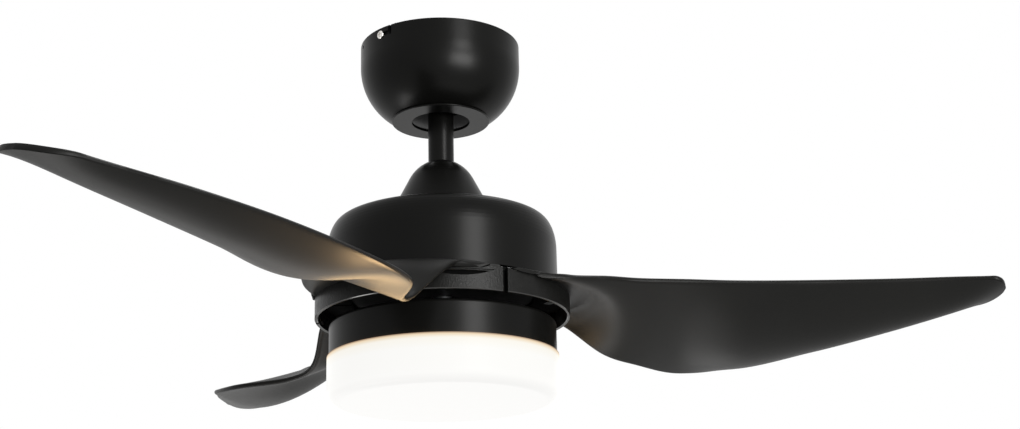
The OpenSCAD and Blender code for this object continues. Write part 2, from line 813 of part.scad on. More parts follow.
module rotor_upper_shell() {
    seat = bearing_r + bearing_seat_t;
    web = upper_bearing_at + bearing_h + 1;
    color("#a2a5a9") {
        turned([[bearing_r, upper_bearing_at], [bearing_r - bearing_lip, upper_bearing_at],
            [bearing_r - bearing_lip, shell_top], [seat, shell_top],
            [seat, web - shell_web_t], [rotor_r, web - shell_web_t],
            [rotor_r, shell_joint], [rotor_r - rotor_wall, shell_joint], [rotor_r - rotor_wall, web],
            [bearing_r, web]]);
        shell_ears(shell_joint - ear_t, shell_joint);
    }
}

module rotor_lower_shell() {
    seat = bearing_r + bearing_seat_t;
    low = lower_bearing_at + bearing_h;
    color("#a2a5a9") {
        difference() {
            turned([[bearing_r, lower_bearing_at - 1], [seat, lower_bearing_at - 1], [seat, carrier_high],
                [rotor_r - rotor_wall, carrier_high], [rotor_r - rotor_wall, shell_joint],
                [rotor_r, shell_joint], [rotor_r, carrier_high], [carrier_r, carrier_high],
                [carrier_r, carrier_low], [bearing_r - bearing_lip, carrier_low],
                [bearing_r - bearing_lip, low], [bearing_r, low]]);
            ring_of(3) for (a = [-1, 0, 1]) rotate([0, 0, a * blade_screw_turn])
                translate([blade_screw_circle, 0, 0])
                    rod(blade_screw_r, carrier_high - 1, carrier_low + 1);
        }
        shell_ears(shell_joint, shell_joint + ear_t);
        ring_of(shell_screws_n, 180 / shell_screws_n)
            block([rotor_r - rotor_wall - seat + 1, shell_rib_t, shell_rib_h],
                (rotor_r - rotor_wall + seat) / 2, 0, carrier_high - shell_rib_h);
    }
}

module shell_screws() {
    head = shell_joint - ear_t;
    color("#c9cbce") ring_of(shell_screws_n) translate([ear_at, 0, 0]) {
        rod(shell_screw_r, head - shell_head_h / 2, shell_joint + ear_t);
        rod(shell_head_r, head - shell_head_h, head);
    }
}

module rotor_magnets() {
    a = 360 / magnets - 3;
    color("#4b4d52") ring_of(magnets) rotate([0, 0, -a / 2])
        turned([[magnet_in, stack_at - 1], [magnet_in + magnet_t, stack_at - 1],
            [magnet_in + magnet_t, stack_at + stack_h + 1], [magnet_in, stack_at + stack_h + 1]], a);
}

module bearing(top) {
    mid = (shaft_r + bearing_r) / 2;
    race = mid - race_gap / 2;
    at_depth(top + bearing_h / 2) {
        rotate_extrude() difference() {
            union() {
                translate([shaft_r + running, -bearing_h / 2]) square([race - shaft_r - running, bearing_h]);
                translate([mid + race_gap / 2, -bearing_h / 2])
                    square([bearing_r - mid - race_gap / 2, bearing_h]);
            }
            translate([mid, 0]) circle(r = bearing_ball_r + running);
        }
        ring_of(ball_n) translate([mid, 0, 0]) sphere(r = bearing_ball_r);
    }
}

module upper_bearing() {
    color("#c9cbce") bearing(upper_bearing_at);
}

module lower_bearing() {
    color("#c9cbce") bearing(lower_bearing_at);
}

// Two triangles that fill a four-cornered face
function halves(a, b, c, d) = [[a, b, c], [a, c, d]];

// The sheet of one blade: loops of points round each section, skinned and capped.
// In each loop, point j of the upper skin lies over point n - 1 - j of the lower skin.
module blade_sheet() {
    n = 2 * chord_points + 4;
    last = (sections - 1) * n;
    polyhedron(points = [for (i = [0 : sections - 1]) each blade_loop(section_place(i))],
        faces = concat(
            [for (j = [0 : chord_points]) each halves(n - 1 - j, n - 2 - j, j + 1, j)],
            [for (i = [0 : sections - 2], j = [0 : n - 1])
                let (k = (j + 1) % n)
                each halves(i * n + j, i * n + k, (i + 1) * n + k, (i + 1) * n + j)],
            [for (j = [0 : chord_points])
                each halves(last + j, last + j + 1, last + n - 2 - j, last + n - 1 - j)]));
}

// A third of the ring that closes round the motor, with the flange that is screwed up
module blade_root() {
    inner = ring_r - ring_wall;
    difference() {
        rotate([0, 0, -half_root]) union() {
            turned([[inner, ring_top], [ring_r, ring_top], [ring_r, ring_bottom], [inner, ring_bottom]],
                2 * half_root);
            turned([[web_in, carrier_low], [inner + 0.5, carrier_low],
                [inner + 0.5, carrier_low + web_t], [web_in, carrier_low + web_t]], 2 * half_root);
        }
        for (a = [-1, 0, 1]) rotate([0, 0, a * blade_screw_turn]) translate([blade_screw_circle, 0, 0])
            rod(blade_screw_r + screw_gap, carrier_low - 1, carrier_low + web_t + 1);
        // Relief in the wall under the trailing edge, where the sheet arches away
        relief_r = (relief_w * relief_w + relief_h * relief_h) / 2 / relief_h;
        rotate([0, 0, relief_at])
            bar(relief_r, inner - 1, ring_r + 1, root_mid + blade_t / 2 + relief_h - relief_r);
    }
}

module blade(number) {
    color("#232325") rotate([0, 0, (number - 1) * turn]) {
        blade_sheet();
        blade_root();
    }
}

module blade_1() {
    blade(1);
}

module blade_2() {
    blade(2);
}

module blade_3() {
    blade(3);
}

module blade_screws() {
    low = carrier_low + web_t;
    color("#8d9094") ring_of(3) for (a = [-1, 0, 1]) rotate([0, 0, a * blade_screw_turn])
        translate([blade_screw_circle, 0, 0]) {
            rod(blade_screw_r, carrier_high, low + screw_head_h / 2);
            rod(2 * blade_screw_r, low, low + screw_head_h);
        }
}

// The diffuser's bowl, drawn in by e
function diffuser_side(e) =
    concat([[diffuser_r - e, diffuser_top + e]],
        arc(diffuser_r - diffuser_edge, diffuser_bottom - diffuser_edge, diffuser_edge - e, 0, -90, 8),
        [[0, diffuser_bottom - e]]);

module diffuser() {
    color("#f4f1e8") {
        turned(concat([[neck_r - diffuser_wall, diffuser_top + diffuser_wall],
            [neck_r - diffuser_wall, lug_top], [neck_r, lug_top], [neck_r, diffuser_top]],
            diffuser_side(0), rev(diffuser_side(diffuser_wall))));
        ring_of(lug_n) rotate([0, 0, -lug_w / 2]) turned([[neck_r - 0.5, lug_top], [lug_r, lug_top],
            [lug_r, lug_top + lug_t], [neck_r - 0.5, lug_top + lug_t]], lug_w);
    }
}

ceiling_bracket();
seat_peg();
canopy();
canopy_trim_ring();
canopy_screws();
remote_receiver();
terminal_block();
earth_screw();
seat_liner();
hanger_ball();
ball_pin();
downrod();
coupling_cover();
motor_yoke();
yoke_pin();
cotter_clip();
yoke_set_screws();
motor_shaft();
shaft_circlip();
motor_housing();
housing_screws();
stator_core();
stator_windings();
light_plate();
shaft_nut();
light_pan();
pan_screws();
diffuser_catches();
led_driver();
led_board();
led_chips();
board_screws();
rotor_upper_shell();
rotor_lower_shell();
shell_screws();
rotor_magnets();
upper_bearing();
lower_bearing();
blade_1();
blade_2();
blade_3();
blade_screws();
diffuser();
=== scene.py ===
import math

import bmesh
import bpy
from mathutils import Matrix, Vector


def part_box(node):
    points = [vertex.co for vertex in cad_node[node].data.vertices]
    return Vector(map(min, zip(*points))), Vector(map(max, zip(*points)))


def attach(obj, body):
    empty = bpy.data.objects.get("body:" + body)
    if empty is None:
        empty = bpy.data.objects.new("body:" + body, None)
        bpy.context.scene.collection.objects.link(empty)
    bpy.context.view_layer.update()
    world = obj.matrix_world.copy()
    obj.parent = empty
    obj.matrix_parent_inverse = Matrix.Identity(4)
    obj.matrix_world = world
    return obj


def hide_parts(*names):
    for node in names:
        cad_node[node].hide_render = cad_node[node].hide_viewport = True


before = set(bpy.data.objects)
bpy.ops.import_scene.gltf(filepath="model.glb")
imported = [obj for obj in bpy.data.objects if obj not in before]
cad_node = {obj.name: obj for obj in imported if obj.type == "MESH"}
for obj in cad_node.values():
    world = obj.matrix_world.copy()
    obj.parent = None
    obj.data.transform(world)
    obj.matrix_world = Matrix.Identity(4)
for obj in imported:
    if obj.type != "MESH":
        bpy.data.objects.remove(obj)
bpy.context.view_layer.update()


# ---------------------------------------------------------------- camera and studio
# The fan hangs a little above eye height over a pale floor, in front of a plain white backdrop.
# Two soft boxes in front on the right light it, with low panels left and behind, and one above.
# A small warm lamp beside the bowl gives the light that the bowl throws on the nearest blade.

camera_stand = (0.0614, -1.4748, -0.6405)
camera_turns = ((-0.184, "Z"), (17.515, "X"), (1.392, "Y"), (90, "X"))
camera_data = bpy.data.cameras.new("camera")
camera_data.sensor_width = 36
camera_data.lens = 56.33
camera_data.clip_end = 60
camera = bpy.data.objects.new("camera", camera_data)
bpy.context.scene.collection.objects.link(camera)
bpy.context.scene.camera = camera
camera_place = Matrix.Translation(camera_stand)
for degrees, axis in camera_turns:
    camera_place = camera_place @ Matrix.Rotation(math.radians(degrees), 4, axis)
camera.matrix_world = camera_place


def area_light(name, place, aim, size, power, colour, spread=180):
    """A soft box: where it stands, what it points at, its width and height, watts and tint."""
    data = bpy.data.lights.new(name, "AREA")
    data.shape = "RECTANGLE"
    data.size, data.size_y = size
    data.energy = power
    data.color = colour
    data.spread = math.radians(spread)
    lamp = bpy.data.objects.new(name, data)
    bpy.context.scene.collection.objects.link(lamp)
    lamp.location = place
    lamp.rotation_euler = (Vector(aim) - Vector(place)).to_track_quat("-Z", "Y").to_euler()
    lamp.visible_camera = False


fan_middle = (0, 0, -0.22)
daylight, soft_daylight, warm_bowl = (1.0, 0.995, 0.98), (1.0, 0.99, 0.97), (1.0, 0.66, 0.34)
area_light("soft_box_right", (1.5, -2.23, -0.6), fan_middle, (1.4, 0.9), 92, daylight)
area_light("high_soft_box", (1.45, -2.2, 0.6), fan_middle, (0.9, 0.9), 46, daylight)
area_light("low_left_panel", (-1.2, 0.45, -2.25), fan_middle, (1.1, 1.2), 34, soft_daylight)
area_light("low_back_panel", (-0.9, 2.8, -2.1), fan_middle, (2.4, 0.9), 14, daylight)
area_light("top_light", (0.25, 0.7, 1.8), fan_middle, (1.4, 1.0), 14, (1.0, 1.0, 1.0))
area_light("bowl_glow", (-0.02, -0.27, -0.37), (-0.09, -0.27, -0.3), (0.05, 0.05), 0.5,
           warm_bowl, spread=100)


def backdrop_rays(nodes, links):
    """1 for rays that see the backdrop straight, through glass or in gloss, and 0 for others."""
    rays = nodes.new("ShaderNodeLightPath")
    seen, mirrored = nodes.new("ShaderNodeMath"), nodes.new("ShaderNodeMath")
    seen.operation = mirrored.operation = "MAXIMUM"
    links.new(rays.outputs["Is Camera Ray"], seen.inputs[0])
    links.new(rays.outputs["Is Transmission Ray"], seen.inputs[1])
    links.new(seen.outputs[0], mirrored.inputs[0])
    links.new(rays.outputs["Is Glossy Ray"], mirrored.inputs[1])
    return mirrored.outputs[0]


world = bpy.data.worlds.new("studio")
bpy.context.scene.world = world
world.use_nodes = True
nodes, links = world.node_tree.nodes, world.node_tree.links
fill_light, plain_white = 0.4, 1.0
strength = nodes.new("ShaderNodeMapRange")
strength.inputs["To Min"].default_value = fill_light
strength.inputs["To Max"].default_value = plain_white
nodes["Background"].inputs["Color"].default_value = (1, 1, 1, 1)
links.new(backdrop_rays(nodes, links), strength.inputs["Value"])
links.new(strength.outputs["Result"], nodes["Background"].inputs["Strength"])


def material(name):
    """A new material with its nodes, its links and its shader, ready for a pattern."""
    made = bpy.data.materials.new(name)
    made.use_nodes = True
    nodes, links = made.node_tree.nodes, made.node_tree.links
    return made, nodes, links, nodes["Principled BSDF"]


floor_reach, floor_level = 30, -2.6
floor_mesh = bpy.data.meshes.new("floor")
floor_mesh.from_pydata([(x * floor_reach, y * floor_reach, floor_level)
                        for x, y in ((-1, -1), (1, -1), (1, 1), (-1, 1))], [], [(0, 1, 2, 3)])
floor = bpy.data.objects.new("floor", floor_mesh)
bpy.context.scene.collection.objects.link(floor)
floor_paint, nodes, links, bsdf = material("pale_floor")
bsdf.inputs["Base Color"].default_value = (0.86, 0.86, 0.85, 1)
bsdf.inputs["Roughness"].default_value = 0.8
bsdf.inputs["Emission Strength"].default_value = 0.55
links.new(backdrop_rays(nodes, links), bsdf.inputs["Emission Color"])
floor_mesh.materials.append(floor_paint)
bpy.context.scene.view_settings.view_transform = "Standard"


# ---------------------------------------------------------------- satin black paint
# Canopy, trim ring, downrod, cover, housing and light pan are steel with a baked satin coat.
# The coat has a fine orange peel, and its gloss varies a little from place to place.

def grain_group():
    """Fine surface grain: a colour factor, a roughness and a bump normal."""
    group = bpy.data.node_groups.new("surface_grain", "ShaderNodeTree")
    for label in ("Scale", "Depth", "Roughness", "Spread", "Cloud"):
        group.interface.new_socket(label, in_out="INPUT", socket_type="NodeSocketFloat")
    for label, kind in (("Factor", "NodeSocketFloat"), ("Roughness", "NodeSocketFloat"),
                        ("Normal", "NodeSocketVector")):
        group.interface.new_socket(label, in_out="OUTPUT", socket_type=kind)
    nodes, links = group.nodes, group.links
    given, out = nodes.new("NodeGroupInput"), nodes.new("NodeGroupOutput")
    place = nodes.new("ShaderNodeTexCoord")
    fine = nodes.new("ShaderNodeTexNoise")
    fine.inputs["Detail"].default_value = 3
    broad = nodes.new("ShaderNodeTexNoise")
    broad.inputs["Detail"].default_value = 4
    bump = nodes.new("ShaderNodeBump")
    bump.inputs["Distance"].default_value = 0.0004
    rough = nodes.new("ShaderNodeMapRange")
    low, high = nodes.new("ShaderNodeMath"), nodes.new("ShaderNodeMath")
    low.operation, high.operation = "SUBTRACT", "ADD"
    links.new(place.outputs["Object"], fine.inputs["Vector"])
    links.new(place.outputs["Object"], broad.inputs["Vector"])
    links.new(given.outputs["Scale"], fine.inputs["Scale"])
    links.new(given.outputs["Cloud"], broad.inputs["Scale"])
    links.new(fine.outputs["Fac"], bump.inputs["Height"])
    links.new(given.outputs["Depth"], bump.inputs["Strength"])
    for part, end in ((low, "To Min"), (high, "To Max")):
        links.new(given.outputs["Roughness"], part.inputs[0])
        links.new(given.outputs["Spread"], part.inputs[1])
        links.new(part.outputs[0], rough.inputs[end])
    links.new(broad.outputs["Fac"], rough.inputs["Value"])
    links.new(broad.outputs["Fac"], out.inputs["Factor"])
    links.new(rough.outputs["Result"], out.inputs["Roughness"])
    links.new(bump.outputs["Normal"], out.inputs["Normal"])
    return group


grain = grain_group()


def grained(name, dark, light, metallic, shine=0.5, **grain_sizes):
    """A finish that varies between two colours, with the shared grain on it.

    Scale and Depth are the fine grain's, Cloud is the scale of the slow change in colour and
    gloss, and Spread is how far the roughness goes either way. Every finish gives all five.
    """
    made, nodes, links, bsdf = material(name)
    bsdf.inputs["Metallic"].default_value = metallic
    bsdf.inputs["Specular IOR Level"].default_value = shine
    texture = nodes.new("ShaderNodeGroup")
    texture.node_tree = grain
    for label, value in grain_sizes.items():
        texture.inputs[label].default_value = value
    mix = nodes.new("ShaderNodeMix")
    mix.data_type = "RGBA"
    mix.inputs["A"].default_value = (*dark, 1)
    mix.inputs["B"].default_value = (*light, 1)
    links.new(texture.outputs["Factor"], mix.inputs["Factor"])
    links.new(mix.outputs["Result"], bsdf.inputs["Base Color"])
    links.new(texture.outputs["Roughness"], bsdf.inputs["Roughness"])
    links.new(texture.outputs["Normal"], bsdf.inputs["Normal"])
    return made


def finish_with(made, *names):
    """Gives CAD nodes a finish in place of their plain one."""
    for name in names:
        slots = cad_node[name].material_slots
        if not slots:
            cad_node[name].data.materials.append(made)
        for each in slots:
            each.material = made


satin_black = grained("satin_black_paint", (0.0015, 0.0015, 0.0014), (0.003, 0.003, 0.0027), 0.0,
                      shine=0.085, Scale=700, Depth=0.06, Roughness=0.31, Spread=0.05, Cloud=9)
finish_with(satin_black, "canopy", "canopy_trim_ring", "downrod", "coupling_cover", "motor_housing",
            "light_pan")


# ---------------------------------------------------------------- blades
# Each blade is one moulding of matt black plastic: a scooped sheet whose root is a third of the
# ring round the motor, with a flange inside that is screwed up under the turning rotor.
# The ring's outer wall is textured and its chamfers are polished. Its hidden side is rough and
# darker, almost without gloss, as painted shade.

ring_r, ring_wall = 0.121, 0.003
ring_inner = ring_r - ring_wall
ring_gap, ring_height = 0.005, 0.0225
ring_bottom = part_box("light_pan")[1].z + ring_gap
ring_top = ring_bottom + ring_height
half_root = math.radians(58.816)
sheet_t, tip_r = 0.0052, 0.5325
root_r = ring_r - 0.0005
root_rise = 0.0016
root_mid = ring_top - sheet_t / 2 + root_rise

# Sections from the ring to the tip, in shares of the ring's radius: reach, the two edges
# sideways and down, and the sag of the scoop. The last row is how much each follows the arc.
section_u = (0, 0.2314, 0.438, 0.7355, 1.0083, 1.3884, 1.8678, 2.4463, 3.0248, 3.5207, 3.8926)
lead_s = (-0.843, -0.6942, -0.6116, -0.438, -0.3264, -0.2851, -0.2562, -0.1281, -0.1446, -0.1777,
          -0.281)
trail_s = (0.843, 0.6529, 0.6157, 0.5661, 0.6694, 0.9793, 0.9917, 0.7851, 0.5579, 0.314, 0.1901)
lead_drop = (0, 0.0124, 0.0025, -0.0314, -0.0364, -0.0306, -0.0207, -0.0471, -0.0397, -0.0347,
             -0.0017)
trail_drop = (0, -0.0124, 0.0959, 0.3388, 0.4132, 0.4264, 0.3719, 0.2521, 0.1678, 0.0967, 0.0686)
sag = (0, 0.0083, 0.0017, -0.0083, 0.0066, 0.0512, 0.2231, 0.2421, 0.1818, 0.1157, 0.0083)
arc_share = (1, 0.85, 0.6, 0.3, 0.1, 0, 0, 0, 0, 0, 0)
last_section = len(section_u) - 1
root_half = math.asin(-lead_s[0] * ring_r / root_r)
root_u = root_r * math.cos(root_half)
span = tip_r - root_u
# From the sixth section on, the drawn reach is stretched to end at the tip
plain_at, drawn_span = section_u[5] * ring_r, section_u[last_section] * ring_r
# The tip is rounded towards a point between the edges, by a corner on either side
tip_at, tip_lead, tip_trail = 0.45, 0.015, 0.028


def smooth(values, p):
    """A smooth curve through the entries of a list, at place p counted in entries."""
    i = min(int(p), len(values) - 2)
    t = p - i
    a = values[i - 1] if i > 0 else 2 * values[0] - values[1]
    b, c = values[i], values[i + 1]
    d = values[i + 2] if i + 2 < len(values) else 2 * values[-1] - values[-2]
    return 0.5 * (2 * b + (c - a) * t + (2 * a - 5 * b + 4 * c - d) * t * t
                  + (3 * b - a - 3 * c + d) * t ** 3)


def sheet_middle(p, t):
    """A point of the blade's middle surface: p along the sections, t from the leading edge."""
    u = smooth(section_u, p) * ring_r
    if u > plain_at:
        u = plain_at + (u - plain_at) * (span - plain_at) / (drawn_span - plain_at)
    corner = tip_lead if t < tip_at else tip_trail
    past = max(0, (u - span + corner) / corner)
    k = tip_at + (t - tip_at) * math.sqrt(max(0, 1 - past ** 2))
    s = smooth(lead_s, p) + (smooth(trail_s, p) - smooth(lead_s, p)) * k
    across = root_r * math.sin(root_half) * (2 * t - 1)
    bow = math.sqrt(root_r ** 2 - across ** 2) - root_u
    drop = (smooth(lead_drop, p) + (smooth(trail_drop, p) - smooth(lead_drop, p)) * k
            + 4 * smooth(sag, p) * k * (1 - k))
    return Vector((root_u + u + smooth(arc_share, p) * bow, s * ring_r, root_mid - drop * ring_r))


def sheet_normal(p, t):
    """The direction square to the sheet at that point."""
    step = 0.01
    along = sheet_middle(min(p + step, last_section), t) - sheet_middle(max(p - step, 0), t)
    over = sheet_middle(p, min(t + step, 1)) - sheet_middle(p, max(t - step, 0))
    return along.cross(over).normalized()


def skin(mesh, loops):
    """Joins loops of points with faces and closes the first and the last loop with strips."""
    rows = [[mesh.verts.new(point) for point in loop] for loop in loops]
    n = len(rows[0])
    for a, b in zip(rows, rows[1:]):
        for j in range(n):
            k = (j + 1) % n
            mesh.faces.new((a[j], a[k], b[k], b[j]))
    for row, flip in ((rows[0], True), (rows[-1], False)):
        for j in range(n // 2 - 1):
            quad = (row[j], row[j + 1], row[n - 2 - j], row[n - 1 - j])
            mesh.faces.new(quad[::-1] if flip else quad)


def rounded_bar(r0, r1, z1, z0):
    """A bar's profile of (radius, height) points with broken corners."""
    soft = 0.0006
    return [(r0, z1 - soft), (r0 + soft, z1), (r1 - soft, z1), (r1, z1 - soft),
            (r1, z0 + soft), (r1 - soft, z0), (r0 + soft, z0), (r0, z0 + soft)]


def swept(mesh, profile, steps, start=-half_root, end=half_root):
    """Sweeps a profile round the motor's axis, over the root's sector or between two angles."""
    rows = []
    for i in range(steps + 1):
        a = start + (end - start) * i / steps
        rows.append([Vector((r * math.cos(a), r * math.sin(a), z)) for r, z in profile(a)])
    skin(mesh, rows)


def scooped_sheet(mesh):
    """The blade's sheet, section by section, closer together towards the rounded tip."""
    sections, across, edge_steps = 132, 34, 5
    tip_share, tip_from, tip_length = 0.78, 9.2, 0.795
    edge_r = sheet_t / 2
    loops = []
    for i in range(sections):
        f = i / (sections - 1)
        if f < tip_share:
            p = f / tip_share * tip_from
        else:
            p = tip_from + tip_length * math.sin((f - tip_share) / (1 - tip_share) * math.pi / 2)
        mids = [sheet_middle(p, j / (across - 1)) for j in range(across)]
        ups = [sheet_normal(p, j / (across - 1)) for j in range(across)]
        width = sum((b - a).length for a, b in zip(mids, mids[1:]))
        inset = min(edge_r, width * 0.3)
        outs = ((mids[0] - mids[1]).normalized(), (mids[-1] - mids[-2]).normalized())
        # The sheet's own points stop short of the edges, which are rounded over
        loop = []
        for side in (1, -1):
            row = [mids[j] + ups[j] * side * edge_r for j in range(across)]
            row[0] -= outs[0] * inset
            row[-1] -= outs[1] * inset
            order = range(across) if side == 1 else range(across - 1, -1, -1)
            loop += [row[j] for j in order]
            end = -1 if side == 1 else 0
            for k in range(1, edge_steps):
                a = math.pi * k / edge_steps
                loop.append(mids[end] - outs[end] * inset + ups[end] * side * edge_r * math.cos(a)
                            + outs[end] * inset * math.sin(a))
        loops.append(loop)
    # Each loop starts in the middle of the leading edge and runs against the clock from the tip
    shift = (edge_steps - 1) // 2
    skin(mesh, [(loop[-shift:] + loop[:-shift])[::-1] for loop in loops])


sheet_under = root_mid - sheet_t / 2
relief_mid, relief_half, relief_depth = math.radians(40), 0.031, 0.006
relief_r = (relief_half ** 2 + relief_depth ** 2) / 2 / relief_depth


def ring_profile(a):
    """The ring's wall at an angle, with a long shallow relief in its top under the sheet."""
    x = (a - relief_mid) * ring_r
    dip = relief_depth - relief_r + math.sqrt(max(relief_r ** 2 - x * x, 0))
    top = min(ring_top, sheet_under - dip) if abs(x) < relief_half else ring_top
    return rounded_bar(ring_inner, ring_r, top, ring_bottom)


def fixed(*bar):
    """A profile that is the same at every angle."""
    return lambda a: rounded_bar(*bar)


sheet_root = fixed(ring_inner, ring_r, ring_top, sheet_under)
flange = fixed(0.086, ring_inner + 0.0005, ring_top - 0.0022, ring_top - 0.0052)
# The flange is turned down behind the relief in the wall
lip = fixed(ring_inner - 0.003, ring_inner - 0.0015, ring_top - 0.004, ring_top - 0.0115)
lip_half = math.radians(18)
# A tongue behind the joint laps the next root, so that no light comes through
tongue = fixed(ring_inner - 0.0045, ring_inner - 0.0025, ring_top - 0.0005, ring_bottom + 0.0005)
tongue_from, tongue_to = half_root - math.radians(2.5), half_root + math.radians(4.5)


def blade_mesh(name, turn):
    """One blade, turned to its place on the ring."""
    mesh = bmesh.new()
    scooped_sheet(mesh)
    swept(mesh, ring_profile, 110)
    swept(mesh, sheet_root, 60)
    swept(mesh, flange, 60)
    swept(mesh, lip, 24, relief_mid - lip_half, relief_mid + lip_half)
    swept(mesh, tongue, 14, tongue_from, tongue_to)
    bmesh.ops.rotate(mesh, verts=mesh.verts, cent=(0, 0, 0), matrix=Matrix.Rotation(turn, 3, "Z"))
    data = bpy.data.meshes.new(name)
    mesh.to_mesh(data)
    mesh.free()
    for face in data.polygons:
        face.use_smooth = True
    return data


matt_plastic = grained("matt_black_plastic", (0.002, 0.002, 0.0018), (0.004, 0.004, 0.0036), 0.0,
                       shine=0.1, Scale=1500, Depth=0.2, Roughness=0.42, Spread=0.05, Cloud=8)
textured_plastic = grained("textured_black_plastic", (0.002, 0.002, 0.0018),
                           (0.005, 0.005, 0.0046), 0.0, shine=0.12, Scale=620, Depth=0.8,
                           Roughness=0.36, Spread=0.08, Cloud=160)
polished_edge = grained("polished_black_edge", (0.002, 0.002, 0.0018), (0.005, 0.005, 0.0046), 0.0,
                        shine=0.5, Scale=900, Depth=0.05, Roughness=0.16, Spread=0.05, Cloud=120)
# Painted shade: the hidden inside of the ring and the flange get a darker, almost glossless black.
painted_shade_plastic = grained("dull_black_plastic_painted_shade", (0.001, 0.001, 0.001), (0.003, 0.003, 0.003), 0.0,
                        shine=0.01, Scale=900, Depth=0.5, Roughness=0.9, Spread=0.08, Cloud=60)
blade_finishes = (matt_plastic, textured_plastic, polished_edge, painted_shade_plastic)
on_wall, on_chamfer, on_hidden_side = 1, 2, 3
least_slant, most_slant = 0.2, 0.97
near = 0.0002
for number in (1, 2, 3):
    name = f"moulded_blade_{number}"
    blade = bpy.data.objects.new(name, blade_mesh(name, math.radians(120 * (number - 1))))
    bpy.context.scene.collection.objects.link(blade)
    for finish in blade_finishes:
        blade.data.materials.append(finish)
    for face in blade.data.polygons:
        out = math.hypot(face.center.x, face.center.y)
        if ring_inner - near < out < ring_r + near and face.center.z < ring_top - near:
            slanted = least_slant < abs(face.normal.z) < most_slant
            face.material_index = on_chamfer if slanted else on_wall
        elif out < ring_inner:
            # The faces inside the ring get the painted shade.
            face.material_index = on_hidden_side
    blade.data.set_sharp_from_angle(angle=math.radians(35))
    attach(blade, "rotor")
    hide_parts(f"blade_{number}")


# ---------------------------------------------------------------- opal diffuser
# The bowl under the light pan is opal acrylic, lit from inside by the board of light chips.
# It glows evenly, a little less underneath, and its upper edge is dimmer and warmer.

opal, nodes, links, bsdf = material("opal_acrylic")
bowl_bottom, pan_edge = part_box("diffuser")[0].z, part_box("light_pan")[0].z
underneath, at_the_pan = (0.835, 0.83, 0.82, 1), (0.16, 0.05, 0.01, 1)
up_the_wall = ((0.17, (0.915, 0.91, 0.895, 1)), (0.68, (0.915, 0.91, 0.89, 1)),
               (0.88, (0.9, 0.87, 0.8, 1)), (0.955, (0.82, 0.66, 0.46, 1)))
cast_on_the_blades = (9.0, 6.2, 3.3, 1)
place = nodes.new("ShaderNodeTexCoord")
split = nodes.new("ShaderNodeSeparateXYZ")
height = nodes.new("ShaderNodeMapRange")
height.inputs["From Min"].default_value = bowl_bottom
height.inputs["From Max"].default_value = pan_edge
glow = nodes.new("ShaderNodeValToRGB")
glow.color_ramp.elements[0].color = underneath
glow.color_ramp.elements[1].color = at_the_pan
for position, colour in up_the_wall:
    glow.color_ramp.elements.new(position).color = colour
seen_or_cast = nodes.new("ShaderNodeMix")
seen_or_cast.data_type = "RGBA"
seen_or_cast.inputs["A"].default_value = cast_on_the_blades
ray = nodes.new("ShaderNodeLightPath")
links.new(place.outputs["Object"], split.inputs[0])
links.new(split.outputs["Z"], height.inputs["Value"])
links.new(height.outputs["Result"], glow.inputs["Fac"])
links.new(ray.outputs["Is Camera Ray"], seen_or_cast.inputs["Factor"])
links.new(glow.outputs["Color"], seen_or_cast.inputs["B"])
links.new(seen_or_cast.outputs["Result"], bsdf.inputs["Emission Color"])
bsdf.inputs["Base Color"].default_value = (0.03, 0.03, 0.028, 1)
bsdf.inputs["Specular IOR Level"].default_value = 0.03
bsdf.inputs["Emission Strength"].default_value = 1.0
bsdf.inputs["Roughness"].default_value = 0.35
finish_with(opal, "diffuser")


# ---------------------------------------------------------------- ceiling bracket and seat
# The bracket is pressed steel, painted black: a strap for the ceiling screws, two legs and a seat.
# A white nylon liner turns in the seat round a steel peg, and a black nylon ball in the liner.
# The receiver of the remote control and the terminal block sit beside it, inside the canopy.

zinc = grained("zinc_plate", (0.5, 0.51, 0.53), (0.66, 0.67, 0.69), 1.0,
               Scale=260, Depth=0.08, Roughness=0.34, Spread=0.1, Cloud=40)
white_plastic = grained("white_plastic", (0.72, 0.72, 0.69), (0.8, 0.8, 0.78), 0.0,
                        Scale=800, Depth=0.15, Roughness=0.48, Spread=0.06, Cloud=14)
black_nylon = grained("black_nylon", (0.002, 0.002, 0.002), (0.005, 0.005, 0.005), 0.0,
                      shine=0.03, Scale=900, Depth=0.2, Roughness=0.7, Spread=0.08, Cloud=20)
black_steel = grained("black_painted_steel", (0.002, 0.002, 0.002), (0.005, 0.005, 0.005), 0.0,
                      shine=0.06, Scale=600, Depth=0.1, Roughness=0.5, Spread=0.08, Cloud=20)
finish_with(black_steel, "ceiling_bracket")
finish_with(zinc, "seat_peg", "ball_pin")
finish_with(white_plastic, "seat_liner", "remote_receiver", "terminal_block")
finish_with(black_nylon, "hanger_ball")


# ---------------------------------------------------------------- screws
# Pan-head machine screws with a cross recess, turned out of steel and plated.
# Each set stands in a ring: the canopy's two lie level with their heads out, the others stand
# with their heads up or down. The nine blade screws keep their CAD form and are only painted.

